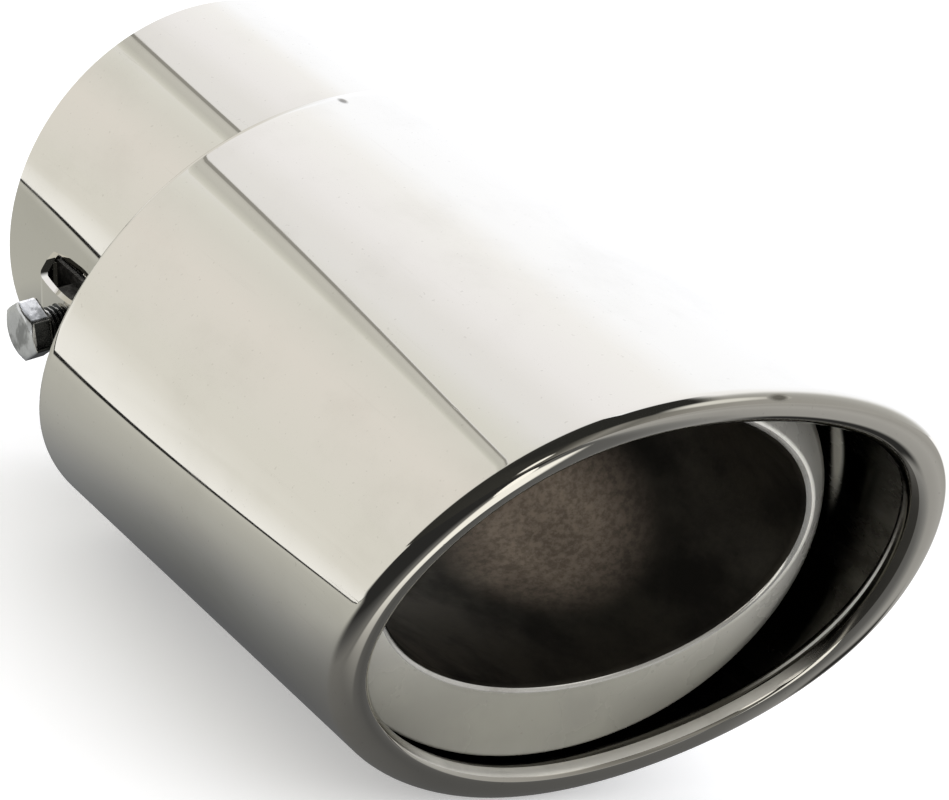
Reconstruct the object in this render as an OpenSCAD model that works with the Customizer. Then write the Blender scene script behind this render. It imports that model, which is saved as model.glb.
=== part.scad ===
// Clamp-on exhaust tip: a round inlet collar, an oval double wall with a
// slant-cut outlet, a rolled-in lip, and one clamp screw in a pressed louvre.
// X runs along the tail pipe toward the outlet, Z is up, and the origin is the
// centre of the inlet's rear edge. Millimetres.

/* [Inlet collar] */
// Inside diameter of the inlet, which takes the tail pipe
inlet_bore = 63; // [48:0.5:70]
// Sheet thickness of the inlet tube
collar_sheet = 1; // [0.8:0.1:1.5]
// Length of inlet tube that shows behind the shell, on the pipe axis
collar_shown = 28.5; // [26:0.5:40]
// Length of inlet tube that is tucked inside the shell
collar_tuck = 21.5; // [19:0.5:26]
// Length over which the tube's front end is stepped in, to take the liner
joggle_slope = 1.5; // [1:0.1:3]

/* [Outer shell] */
// Overall width of the oval shell
shell_w = 95.2; // [86:0.2:110]
// Overall height of the oval shell
shell_h = 77; // [74:0.2:86]
// Fullness of the oval's upper corners as a share of its size, 0 being an ellipse
top_full = 0.083; // [0:0.001:0.12]
// Fullness of the oval's lower corners, below 0 being leaner than an ellipse
base_full = -0.048; // [-0.06:0.001:0.06]
// Sheet thickness of the shell
shell_sheet = 0.8; // [0.6:0.1:1.2]
// Lean of the rear shoulder, top toward the outlet
rear_lean = 10.5; // [0:0.5:12]
// Turn of the rear shoulder, the clamp's side toward the outlet
rear_turn = 12; // [0:0.5:13]
// Length over which the shoulder rounds out to the full oval
shoulder_len = 3; // [2:0.2:5]
// Length of the shell on the pipe axis, to the middle of the slant cut
shell_len = 90.3; // [85:0.2:117]
// Angle of the slant cut
outlet_slant = 19.5; // [10:0.5:25]
// Outer radius of the rolled-in lip
lip_r = 2.8; // [2:0.1:3.2]
// How far round the lip is rolled
lip_turn = 250; // [180:5:270]

/* [Inner liner] */
// Sheet thickness of the liner
liner_sheet = 0.8; // [0.6:0.1:1.2]
// Length of stepped tube that the liner is sleeved over
liner_grip = 8; // [5:0.5:10]
// How far the flare's edge lies behind the middle of the slant cut
flare_back = 13.6; // [13:0.2:20]
// Gap from the flare's edge to the shell, at each side
flare_side_gap = 3.8; // [2:0.1:6]
// Gap from the flare's edge to the shell, at the top
flare_top_gap = 3.4; // [2:0.1:6]
// Gap from the flare's edge to the shell, at the bottom
flare_base_gap = 5.2; // [5:0.1:8]
// Width of the flare's face, at each side
band_side = 7.8; // [5:0.1:10]
// Width of the flare's face, at the top
band_top = 9.1; // [5:0.1:12]
// Width of the flare's face, at the bottom
band_base = 10.7; // [5:0.1:12]
// How far the mouth stands ahead of the flare's edge, at its middle
mouth_lead = 4; // [3:0.1:6]
// Slant of the mouth
mouth_slant = 11.5; // [0:0.5:12]
// Bend radius where the mouth turns outward into the flare
mouth_bend = 1.6; // [1.6:0.1:2.5]

/* [Clamp screw] */
// Distance from the screw back to the shell's shoulder
screw_back = 6.5; // [6.1:0.2:9]
// Place of the screw round the collar, from +Y by way of the top
screw_turn = 198.5; // [190:0.5:205]
// Thread diameter
screw_d = 5; // [4:0.5:5]
// Width across the flats of the screw's head
head_af = 8; // [7:0.5:9]
// Height of the head
head_h = 3.5; // [3:0.1:4.2]
// Chamfer round the head's face
head_chamfer = 0.45; // [0.3:0.05:0.8]
// Chamfer at the screw's tip
tip_chamfer = 0.6; // [0.4:0.1:1]
// Thread left showing between the louvre and the head
thread_shown = 3.2; // [1:0.1:6]
// Width across the flats of the captive nut
nut_af = 8; // [7:0.5:9]
// Height of the captive nut above its foot plate
nut_h = 2.7; // [2.3:0.1:3]
// Thickness of the nut's foot plate
foot_sheet = 0.6; // [0.4:0.1:0.7]
// Clearance from the foot plate to the louvre's foot and to the slit's edge
foot_gap = 0.4; // [0.3:0.1:0.8]

/* [Louvre pocket] */
// Height of the louvre's flat above the collar
louvre_h = 3.8; // [3.6:0.1:4.2]
// Radius of the louvre's upper edge
louvre_round = 2.2; // [1.6:0.1:3]
// Slope of the louvre's sides, from upright
louvre_slope = 38; // [20:1:39]
// Distance from the screw to the straight edge of the slit
slit_reach = 6.1; // [6:0.1:7]
// Distance from the screw to the middle of the raised edge
rim_reach = 4; // [3.6:0.1:5]
// Radius of the raised edge's curve
rim_curve = 17; // [14:0.5:24]
// Height of the sheet at the ends of the raised edge
rim_foot = 0.2; // [0.1:0.1:1]
// How far the raised sheet stays back from the slit's straight edge
rim_back = 0.3; // [0.2:0.1:0.6]

/* [Fits] */
// Clearance between formed sheets that are welded or pressed together
seat_gap = 0.06; // [0.04:0.01:0.2]
// Clearance of the screw in the louvre and of the thread in its nut
thread_gap = 0.1; // [0.05:0.05:0.3]
// Clearance of the nut's corners in the louvre
nut_gap = 0.15; // [0.1:0.05:0.3]
// How far the loosened screw's tip stays back from the bore
tip_back = 0.5; // [0.3:0.1:0.6]

/* [Hidden] */

steel = [0.80, 0.79, 0.76];
dark_steel = [0.36, 0.34, 0.31];
zinc = [0.62, 0.63, 0.64];

bore_r = inlet_bore / 2;
collar_r = bore_r + collar_sheet;
rear_x = collar_shown;
collar_len = collar_shown + collar_tuck;
pipe_stop = collar_len - liner_grip;
outlet_x = rear_x + shell_len;

screw_x = rear_x - screw_back;
screw_tip = bore_r + tip_back;
louvre_top = collar_r + louvre_h;
louvre_foot = bore_r * cos(30);
louvre_flat = nut_af / 2 / cos(30) + nut_gap;
head_seat = louvre_top + thread_shown;
nut_top = louvre_top - collar_sheet;

// The foot plate lies across the slit, clear of the louvre's sides.
foot_z = nut_top - nut_h - foot_sheet;
side_round = louvre_round - collar_sheet;
side_start = nut_top - side_round * (1 - sin(louvre_slope));
side_run = (side_start - foot_z - foot_sheet) * tan(louvre_slope);
foot_r = louvre_flat + side_round * cos(louvre_slope) + side_run - foot_gap;
foot_reach = slit_reach - foot_gap;

// The shell's top line runs just over the collar, and the oval hangs below it.
shell_drop = shell_h / 2 - (collar_r + shell_sheet + seat_gap);
inside_top = shell_h / 2 - shell_sheet - shell_drop;
inside_base = -shell_h / 2 + shell_sheet - shell_drop;

// The flare keeps its gaps to the shell, and the mouth lies inside the flare.
flare_x = outlet_x - flare_back;
flare_a = shell_w / 2 - shell_sheet - flare_side_gap;
flare_top = inside_top - flare_top_gap;
flare_base = inside_base + flare_base_gap;
mouth_x = flare_x + mouth_lead;
mouth_a = flare_a - band_side;
mouth_top = flare_top - band_top;
mouth_base = flare_base + band_base;

// Points round a ring, and steps along a rounded profile
round_n = 72;
bend_n = 6;
lip_n = 12;
// A polygon's flats lie inside its corners, so a ring that must clear a tube is
// drawn this much larger.
clear_out = 1 / cos(180 / round_n);

// The tube's front end is stepped in by a sheet, so that the liner's sleeve lies
// flush with the tube, and the step stops the tail pipe.
joggle_r = (collar_r - liner_sheet) / clear_out - seat_gap;
joggle = collar_r - joggle_r;
sleeve_r = collar_r - liner_sheet;
sleeve_x = pipe_stop + joggle_slope + seat_gap;

// How far a cut runs past the face that it opens
through = 1;

// One point of an oval, whose fullness changes smoothly from its base to its top
function oval_point(a, b, top, base, t) =
    let (full = (top + base) / 2 + (top - base) / 2 * sin(t))
    [a * cos(t) * (1 + full * sin(t) * sin(t)), b * sin(t) * (1 + full * cos(t) * cos(t))];

// A ring of points: half width, half height, fullness, drop of its middle,
// place on the axis, and slant of its plane
function oval_ring(a, b, top, base, drop, x, slant) = [
    for (i = [0 : round_n - 1])
        let (p = oval_point(a, b, top, base, 360 * i / round_n))
        [x + tan(slant) * p[1], p[0], p[1] - drop]
];

function circle_ring(r, x) = oval_ring(r, r, 0, 0, 0, x, 0);

function blend(a, b, k) = a + (b - a) * k;

function blend_rings(p, q, k) = [for (i = [0 : round_n - 1]) blend(p[i], q[i], k)];

function shift_ring(p, dx) = [for (v = p) v + [dx, 0, 0]];

// Faces between ring i and ring j
function band_faces(i, j) = [
    for (k = [0 : round_n - 1])
        let (m = (k + 1) % round_n)
        each [
            [i * round_n + k, i * round_n + m, j * round_n + m],
            [i * round_n + k, j * round_n + m, j * round_n + k]
        ]
];

// A sheet form: rings that go out along one face of the sheet and back along
// the other, joined into a closed skin
module ring_skin(rings) {
    count = len(rings);
    polyhedron(
        points = [for (r = rings) each r],
        faces = [for (i = [0 : count - 1]) each band_faces(i, (i + 1) % count)],
        convexity = 10
    );
}

/* Outer shell */

function shell_ring(inset, x, slant) =
    oval_ring(shell_w / 2 - inset, shell_h / 2 - inset, top_full, base_full, shell_drop, x, slant);

// The shoulder leaves the collar square to it and rounds into the oval.
function shoulder_ring(inset, lead, turn) =
    let (
        hole = circle_ring((collar_r + seat_gap) * clear_out, 0),
        oval = shell_ring(inset, 0, 0),
        side = [for (i = [0 : round_n - 1]) blend(hole[i], oval[i], sin(turn))],
        along = rear_x + lead + (shoulder_len - lead) * (1 - cos(turn))
    )
    [for (v = side) [along + tan(rear_lean) * v[2] - tan(rear_turn) * v[1], v[1], v[2]]];

// The lip is a roll of sheet whose outside lies flush with the shell.
function lip_ring(r, turn) =
    shift_ring(shell_ring(lip_r - r * cos(turn), outlet_x, outlet_slant), r * sin(turn));

function shell_rings() = concat(
    [for (i = [0 : bend_n]) shoulder_ring(0, 0, 90 * i / bend_n)],
    [for (i = [0 : lip_n]) lip_ring(lip_r, lip_turn * i / lip_n)],
    [for (i = [lip_n : -1 : 0]) lip_ring(lip_r - shell_sheet, lip_turn * i / lip_n)],
    [for (i = [bend_n : -1 : 0]) shoulder_ring(shell_sheet, shell_sheet, 90 * i / bend_n)]
);

module outer_shell() {
    color(steel) ring_skin(shell_rings());
}

/* Inner liner */

// An ellipse between a top and a base
function ellipse_ring(a, top, base, x, slant) =
    oval_ring(a, (top - base) / 2, 0, 0, -(top + base) / 2, x, slant);

function mouth_ring(grow, back) =
    ellipse_ring(mouth_a + grow, mouth_top + grow, mouth_base - grow, mouth_x - back, mouth_slant);

function flare_ring(back) = ellipse_ring(flare_a, flare_top, flare_base, flare_x - back, 0);

// The duct changes from round to oval along a smooth curve.
function duct_ring(grow, k) =
    let (
        start = circle_ring(sleeve_r + grow, collar_len),
        end = mouth_ring(grow, mouth_bend),
        ease = k * k * (3 - 2 * k),
        along = blend_rings(start, end, k),
        across = blend_rings(start, end, ease)
    )
    [for (i = [0 : round_n - 1]) [along[i][0], across[i][1], across[i][2]]];

// The bend turns the duct's end outward, into the face of the flare.
function bend_ring(r, turn) = mouth_ring(mouth_bend - r * cos(turn), mouth_bend - r * sin(turn));

duct_n = 8;
inner_bend = mouth_bend;
outer_bend = mouth_bend - liner_sheet;

function liner_rings() = concat(
    [circle_ring(sleeve_r, sleeve_x)],
    [for (i = [0 : duct_n - 1]) duct_ring(0, i / duct_n)],
    [for (i = [0 : 3]) bend_ring(inner_bend, 90 * i / 3)],
    [flare_ring(0), flare_ring(liner_sheet)],
    [for (i = [3 : -1 : 0]) bend_ring(outer_bend, 90 * i / 3)],
    [for (i = [duct_n - 1 : -1 : 0]) duct_ring(liner_sheet, i / duct_n)],
    [circle_ring(sleeve_r + liner_sheet, sleeve_x)]
);

module inner_liner() {
    color(dark_steel) ring_skin(liner_rings());
}

/* Inlet collar */

// Puts a child on the screw's axis: local Z points out, local Y to the slit.
module at_screw() {
    translate([screw_x, 0, 0])
        rotate([screw_turn - 90, 0, 0])
            children();
}

// Half profile of the louvre: a flat, a rounded edge and a sloping side. The
// inner form is the same with the sheet taken off.
module louvre_profile(sheet) {
    r = louvre_round - sheet;
    top = louvre_top - sheet;
    mid = top - r;
    tangent = [louvre_flat + r * cos(louvre_slope), mid + r * sin(louvre_slope)];
    spread = (tangent[1] - louvre_foot) * tan(louvre_slope);
    base = [tangent[0] + spread, louvre_foot];
    polygon([[0, louvre_foot], base, tangent, [louvre_flat, top], [0, top]]);
    intersection() {
        translate([louvre_flat, mid])
            circle(r = r, $fn = 64);
        translate([louvre_flat, mid])
            square([2 * r, 2 * r]);
    }
}

// The louvre is round behind the screw and runs straight toward the slit.
module louvre_form(sheet, reach) {
    rotate([0, 0, 180])
        rotate_extrude(angle = 180, $fn = 96)
            louvre_profile(sheet);
    translate([0, reach, 0])
        rotate([90, 0, 0])
            linear_extrude(reach) {
                louvre_profile(sheet);
                mirror([1, 0, 0]) louvre_profile(sheet);
            }
}

// The tube's form at one radius, which steps in where the liner is sleeved on
module tube_form(r, past) {
    rotate([0, 90, 0])
        rotate_extrude($fn = 180)
            polygon([
                [0, -past],
                [r, -past],
                [r, pipe_stop],
                [r - joggle, pipe_stop + joggle_slope],
                [r - joggle, collar_len + past],
                [0, collar_len + past]
            ]);
}

module inlet_collar() {
    color(steel)
    difference() {
        union() {
            tube_form(collar_r, 0);
            at_screw()
                difference() {
                    louvre_form(0, slit_reach - rim_back);
                    translate([0, rim_reach + rim_curve, collar_r + rim_foot])
                        cylinder(h = 2 * louvre_h, r = rim_curve, $fn = 128);
                }
        }
        tube_form(bore_r, through);
        at_screw() {
            louvre_form(collar_sheet, slit_reach);
            cylinder(h = louvre_top + through, d = screw_d + 2 * thread_gap, $fn = 48);
        }
    }
}

/* Clamp screw and its captive nut */

module hex(af, h) {
    cylinder(h = h, d = af / cos(30), $fn = 6);
}

module clamp_screw() {
    color(zinc)
    at_screw() {
        translate([0, 0, screw_tip])
            cylinder(h = tip_chamfer, d1 = screw_d - 2 * tip_chamfer, d2 = screw_d, $fn = 48);
        translate([0, 0, screw_tip + tip_chamfer])
            cylinder(h = head_seat - screw_tip - tip_chamfer, d = screw_d, $fn = 48);
        translate([0, 0, head_seat])
            intersection() {
                rotate([0, 0, 12])
                    hex(head_af, head_h);
                head_turning();
            }
    }
}

// The form that the head's corners are turned down to
module head_turning() {
    face = head_af / 2 - head_chamfer;
    cylinder(h = head_h, r1 = face + 2 * head_h, r2 = face, $fn = 96);
}

// The foot plate's outline, half round like the louvre and straight at the slit
module foot_outline() {
    intersection() {
        circle(r = foot_r, $fn = 96);
        translate([-foot_r, -foot_r])
            square([2 * foot_r, foot_r]);
    }
    translate([-foot_r, 0])
        square([2 * foot_r, foot_reach]);
}

module clamp_nut() {
    color(zinc)
    at_screw()
        difference() {
            union() {
                translate([0, 0, foot_z])
                    linear_extrude(foot_sheet) foot_outline();
                translate([0, 0, foot_z])
                    hex(nut_af, foot_sheet + nut_h);
            }
            translate([0, 0, foot_z - through])
                cylinder(h = foot_sheet + nut_h + 2 * through, d = screw_d + thread_gap, $fn = 48);
        }
}

inlet_collar();
outer_shell();
inner_liner();
clamp_screw();
clamp_nut();
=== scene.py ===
"""A clamp-on exhaust tip of polished stainless steel, in a pale studio.

X runs along the tail pipe toward the outlet and Z is up. The origin is the centre
of the inlet's rear edge. Sizes are named in millimetres and meshes are in metres.
"""

import math

import bpy
import numpy as np
from mathutils import Matrix, Vector


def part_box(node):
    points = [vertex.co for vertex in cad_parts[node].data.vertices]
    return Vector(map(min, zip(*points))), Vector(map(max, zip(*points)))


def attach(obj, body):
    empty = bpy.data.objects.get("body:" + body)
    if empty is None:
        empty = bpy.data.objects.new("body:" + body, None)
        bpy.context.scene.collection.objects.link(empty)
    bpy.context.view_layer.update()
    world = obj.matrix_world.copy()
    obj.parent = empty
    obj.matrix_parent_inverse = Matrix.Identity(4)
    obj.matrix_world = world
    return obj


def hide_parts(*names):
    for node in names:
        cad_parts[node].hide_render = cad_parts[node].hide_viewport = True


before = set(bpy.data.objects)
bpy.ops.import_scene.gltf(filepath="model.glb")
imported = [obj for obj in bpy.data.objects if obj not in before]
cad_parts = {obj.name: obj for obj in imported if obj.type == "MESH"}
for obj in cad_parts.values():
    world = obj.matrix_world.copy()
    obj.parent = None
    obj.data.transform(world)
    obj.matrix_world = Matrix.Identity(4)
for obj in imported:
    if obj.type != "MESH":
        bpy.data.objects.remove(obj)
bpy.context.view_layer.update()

MM = 0.001

# Inlet collar
COLLAR_BORE_R = 31.5
COLLAR_SHEET = 1.0
COLLAR_R = COLLAR_BORE_R + COLLAR_SHEET
COLLAR_SHOWN = 28.5
COLLAR_LEN = 50.0
PIPE_STOP = 42.0
JOGGLE_SLOPE = 1.5

# Outer shell
SHELL_W = 95.2
SHELL_H = 77.0
TOP_FULL = 0.083
BASE_FULL = -0.048
SHELL_SHEET = 0.8
SEAT_GAP = 0.06
REAR_LEAN = math.radians(10.5)
REAR_TURN = math.radians(12)
SHOULDER_LEN = 3.0
SHELL_LEN = 90.3
OUTLET_SLANT = math.radians(19.5)
LIP_R = 2.8
LIP_TURN = math.radians(250)
SHELL_DROP = SHELL_H / 2 - (COLLAR_R + SHELL_SHEET + SEAT_GAP)
OUTLET_X = COLLAR_SHOWN + SHELL_LEN

# Inner liner
LINER_SHEET = 0.8
FLARE_BACK = 13.6
FLARE_SIDE_GAP = 3.8
FLARE_TOP_GAP = 3.4
FLARE_BASE_GAP = 5.2
BAND_SIDE = 7.8
BAND_TOP = 9.1
BAND_BASE = 10.7
MOUTH_LEAD = 4.0
MOUTH_SLANT = math.radians(11.5)
MOUTH_BEND = 1.6
SLEEVE_R = COLLAR_R - LINER_SHEET
SLEEVE_X = PIPE_STOP + JOGGLE_SLOPE + SEAT_GAP
FLARE_X = OUTLET_X - FLARE_BACK
FLARE_HALF_W = SHELL_W / 2 - SHELL_SHEET - FLARE_SIDE_GAP
FLARE_TOP = SHELL_H / 2 - SHELL_SHEET - SHELL_DROP - FLARE_TOP_GAP
FLARE_BASE = -SHELL_H / 2 + SHELL_SHEET - SHELL_DROP + FLARE_BASE_GAP
MOUTH_X = FLARE_X + MOUTH_LEAD
MOUTH_HALF_W = FLARE_HALF_W - BAND_SIDE
MOUTH_TOP = FLARE_TOP - BAND_TOP
MOUTH_BASE = FLARE_BASE + BAND_BASE

# Clamp screw and louvre
SCREW_X = COLLAR_SHOWN - 6.5
SCREW_TURN = math.radians(198.5)
SCREW_D = 5.0
HEAD_AF = 8.0
HEAD_H = 3.5
HEAD_CHAMFER = 0.45
TIP_CHAMFER = 0.6
THREAD_SHOWN = 3.2
THREAD_PITCH = 0.8
THREAD_DEPTH = 0.42
TIP_BACK = 0.5
LOUVRE_H = 3.8
SCREW_TIP = COLLAR_BORE_R + TIP_BACK
HEAD_SEAT = COLLAR_R + LOUVRE_H + THREAD_SHOWN
HEAD_SPIN = math.radians(12)

# Camera, matched to the photograph's outlines
CAMERA_AIM = (75.0, 0.0, 0.0)
CAMERA_TURN = math.radians(48.1)
CAMERA_RISE = math.radians(19.83)
CAMERA_ROLL = math.radians(18.11)
CAMERA_DISTANCE = 600.0
CAMERA_SHIFT_RIGHT = 0.8
CAMERA_SHIFT_UP = 2.42
CAMERA_LENS = 161.5

RING_POINTS = 288
SCREW_POINTS = 96


def camera_axes():
    """Right, up and back of the camera."""
    back = np.array([
        math.sin(CAMERA_TURN) * math.cos(CAMERA_RISE),
        -math.cos(CAMERA_TURN) * math.cos(CAMERA_RISE),
        math.sin(CAMERA_RISE),
    ])
    level = np.array([math.cos(CAMERA_TURN), math.sin(CAMERA_TURN), 0.0])
    tall = np.cross(back, level)
    right = level * math.cos(CAMERA_ROLL) + tall * math.sin(CAMERA_ROLL)
    up = -level * math.sin(CAMERA_ROLL) + tall * math.cos(CAMERA_ROLL)
    return right, up, back


def camera_place():
    right, up, back = camera_axes()
    return (
        np.array(CAMERA_AIM)
        + right * CAMERA_SHIFT_RIGHT
        + up * CAMERA_SHIFT_UP
        + back * CAMERA_DISTANCE
    )


def add_camera():
    right, up, back = camera_axes()
    data = bpy.data.cameras.new("camera")
    data.lens = CAMERA_LENS
    data.clip_start = 0.01
    camera = bpy.data.objects.new("camera", data)
    bpy.context.scene.collection.objects.link(camera)
    turn = Matrix((right, up, back)).transposed().to_4x4()
    camera.matrix_world = Matrix.Translation(Vector(camera_place() * MM)) @ turn
    bpy.context.scene.camera = camera


def add_mesh(name, points, faces):
    """A smooth mesh object from points in millimetres."""
    mesh = bpy.data.meshes.new(name)
    mesh.from_pydata((np.asarray(points) * MM).tolist(), [], faces)
    mesh.validate()
    mesh.polygons.foreach_set("use_smooth", [True] * len(mesh.polygons))
    mesh.update()
    piece = bpy.data.objects.new(name, mesh)
    bpy.context.scene.collection.objects.link(piece)
    return piece


def ring_skin(name, rings):
    """A closed sheet form from rings that go out along one face and back along the other."""
    count, around = len(rings), len(rings[0])
    faces = []
    for i in range(count):
        j = (i + 1) % count
        for k in range(around):
            m = (k + 1) % around
            faces.append((i * around + k, i * around + m, j * around + m, j * around + k))
    return add_mesh(name, np.concatenate(rings), faces)


def oval_ring(half_w, half_h, top, base, drop, x, slant):
    """An oval whose fullness changes smoothly from its base to its top, in a slanted plane."""
    t = np.linspace(0, 2 * math.pi, RING_POINTS, endpoint=False)
    c, s = np.cos(t), np.sin(t)
    full = (top + base) / 2 + (top - base) / 2 * s
    y = half_w * c * (1 + full * s * s)
    z = half_h * s * (1 + full * c * c)
    return np.stack([x + math.tan(slant) * z, y, z - drop], 1)


def circle_ring(r, x):
    return oval_ring(r, r, 0, 0, 0, x, 0)


# Outer shell


def shell_ring(inset, x, slant):
    return oval_ring(SHELL_W / 2 - inset, SHELL_H / 2 - inset, TOP_FULL, BASE_FULL, SHELL_DROP, x, slant)


def shoulder_ring(inset, lead, turn):
    """The shoulder leaves the collar square to it and rounds into the oval."""
    hole = circle_ring(COLLAR_R + SEAT_GAP, 0)
    oval = shell_ring(inset, 0, 0)
    side = hole + (oval - hole) * math.sin(turn)
    along = COLLAR_SHOWN + lead + (SHOULDER_LEN - lead) * (1 - math.cos(turn))
    side[:, 0] = along + math.tan(REAR_LEAN) * side[:, 2] - math.tan(REAR_TURN) * side[:, 1]
    return side


def lip_ring(r, turn):
    ring = shell_ring(LIP_R - r * math.cos(turn), OUTLET_X, OUTLET_SLANT)
    ring[:, 0] += r * math.sin(turn)
    return ring


def wall_ring(inset, share):
    """A ring part of the way from the shoulder to the lip."""
    rear = shoulder_ring(inset, inset, math.pi / 2)
    front = shell_ring(inset, OUTLET_X, OUTLET_SLANT)
    return rear + (front - rear) * share


def build_outer_shell():
    quarter, shoulder_n, lip_n, edge_n = math.pi / 2, 20, 40, 4
    shares = [0.01, 0.04, 0.2, 0.4, 0.6, 0.8, 0.96, 0.99]
    lip_mid = LIP_R - SHELL_SHEET / 2
    edge = SHELL_SHEET / 2
    rings = [shoulder_ring(0, 0, quarter * i / shoulder_n) for i in range(shoulder_n + 1)]
    rings += [wall_ring(0, share) for share in shares]
    curl_start, curl_end = len(rings) + 22, len(rings) + 28
    rings += [lip_ring(LIP_R, LIP_TURN * i / lip_n) for i in range(lip_n + 1)]
    for i in range(1, edge_n):
        turn = math.pi * i / edge_n
        rings.append(lip_ring(lip_mid + edge * math.cos(turn), LIP_TURN + edge * math.sin(turn) / lip_mid))
    rings += [lip_ring(LIP_R - SHELL_SHEET, LIP_TURN * i / lip_n) for i in range(lip_n, -1, -1)]
    rings += [wall_ring(SHELL_SHEET, share) for share in reversed(shares)]
    inner_end = len(rings) + shoulder_n
    rings += [shoulder_ring(SHELL_SHEET, SHELL_SHEET, quarter * i / shoulder_n) for i in range(shoulder_n, -1, -1)]
    return ring_skin("shell_skin", rings), curl_start, curl_end, inner_end


# Inner liner


def ellipse_ring(half_w, top, base, x, slant):
    return oval_ring(half_w, (top - base) / 2, 0, 0, -(top + base) / 2, x, slant)


def mouth_ring(grow, back):
    return ellipse_ring(MOUTH_HALF_W + grow, MOUTH_TOP + grow, MOUTH_BASE - grow, MOUTH_X - back, MOUTH_SLANT)


def flare_ring(back, grow=0.0):
    return ellipse_ring(FLARE_HALF_W + grow, FLARE_TOP + grow, FLARE_BASE - grow, FLARE_X - back, 0)


def duct_ring(grow, k):
    """The duct changes from round to oval along a smooth curve."""
    start = circle_ring(SLEEVE_R + grow, COLLAR_LEN)
    end = mouth_ring(grow, MOUTH_BEND)
    ease = k * k * (3 - 2 * k)
    ring = start + (end - start) * ease
    ring[:, 0] = start[:, 0] + (end[:, 0] - start[:, 0]) * k
    return ring


def bend_ring(r, turn):
    return mouth_ring(MOUTH_BEND - r * math.cos(turn), MOUTH_BEND - r * math.sin(turn))


def build_inner_liner():
    duct_n, bend_n, quarter = 40, 10, math.pi / 2
    face_shares = [0.03, 0.1, 0.4, 0.7, 0.94]
    edge = LINER_SHEET / 2
    outer_bend = MOUTH_BEND - LINER_SHEET
    front, rear = bend_ring(MOUTH_BEND, quarter), flare_ring(0)
    back_front, back_rear = bend_ring(outer_bend, quarter), flare_ring(LINER_SHEET)
    rings = [circle_ring(SLEEVE_R, SLEEVE_X), circle_ring(SLEEVE_R, COLLAR_LEN - 0.5)]
    rings += [duct_ring(0, i / duct_n) for i in range(duct_n)]
    duct_end = len(rings)
    rings += [bend_ring(MOUTH_BEND, quarter * i / bend_n) for i in range(bend_n + 1)]
    bend_end = len(rings)
    rings += [front + (rear - front) * share for share in face_shares]
    for i in range(5):
        turn = quarter * (1 - i / 2)
        rings.append(flare_ring(edge - edge * math.sin(turn), edge * (math.cos(turn) - 1)))
    back = len(rings)
    rings += [back_front + (back_rear - back_front) * share for share in reversed(face_shares)]
    rings += [bend_ring(outer_bend, quarter * i / bend_n) for i in range(bend_n, -1, -1)]
    rings += [duct_ring(LINER_SHEET, i / duct_n) for i in range(duct_n - 1, -1, -1)]
    rings += [circle_ring(COLLAR_R, COLLAR_LEN - 0.5), circle_ring(COLLAR_R, SLEEVE_X)]
    return ring_skin("liner_skin", rings), duct_end, bend_end, back


# Clamp screw


def screw_ring(radius, level):
    """A ring round the screw from a radius for each turn, placed at the louvre."""
    t = np.linspace(0, 2 * math.pi, SCREW_POINTS, endpoint=False)
    out = np.array([0, math.cos(SCREW_TURN), math.sin(SCREW_TURN)])
    along = np.array([1.0, 0, 0])
    across = np.cross(out, along)
    radius = np.broadcast_to(radius, t.shape)
    level = np.broadcast_to(level, t.shape)
    return (
        np.array([SCREW_X, 0, 0])
        + np.outer(level, out)
        + np.outer(radius * np.cos(t), along)
        + np.outer(radius * np.sin(t), across)
    )


def hex_radius(width):
    t = np.linspace(0, 2 * math.pi, SCREW_POINTS, endpoint=False) - HEAD_SPIN
    return width / 2 / np.cos((t + math.pi / 6) % (math.pi / 3) - math.pi / 6)


def thread_radius(level):
    """The thread's radius round the screw at one level, fading out at both ends."""
    t = np.linspace(0, 2 * math.pi, SCREW_POINTS, endpoint=False)
    share = (level / THREAD_PITCH - t / (2 * math.pi)) % 1
    cut = np.clip(1.25 * (1 - np.abs(2 * share - 1)) - 0.12, 0, 1)
    fade = min(1.0, (HEAD_SEAT - level) / THREAD_PITCH)
    turned = SCREW_D / 2 - TIP_CHAMFER + (level - SCREW_TIP)
    return np.minimum(SCREW_D / 2 - THREAD_DEPTH * cut * fade, turned)


def head_radius(level):
    """A hexagon whose corners are turned down toward the face."""
    turned = HEAD_AF / 2 - HEAD_CHAMFER + 2 * (HEAD_SEAT + HEAD_H - level)
    return np.minimum(hex_radius(HEAD_AF), turned)


def build_clamp_screw():
    top = HEAD_SEAT + HEAD_H
    levels = np.linspace(SCREW_TIP, HEAD_SEAT, int((HEAD_SEAT - SCREW_TIP) / THREAD_PITCH * 12))
    rings = [screw_ring(0.02, SCREW_TIP)]
    rings += [screw_ring(thread_radius(level), level) for level in levels]
    rings += [screw_ring(hex_radius(HEAD_AF) - 0.12, HEAD_SEAT), screw_ring(hex_radius(HEAD_AF), HEAD_SEAT + 0.1)]
    rings += [screw_ring(head_radius(level), level) for level in np.linspace(HEAD_SEAT + 0.5, top - 0.12, 24)]
    side_end = len(rings) - 6
    face = HEAD_AF / 2 - HEAD_CHAMFER
    rings += [screw_ring(face, top - 0.03), screw_ring(face - 0.12, top)]
    rings += [screw_ring(face * share, top) for share in (0.8, 0.5, 0.2, 0.015)]
    rings.append(screw_ring(0.02, top))
    return ring_skin("screw_skin", rings), side_end


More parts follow.
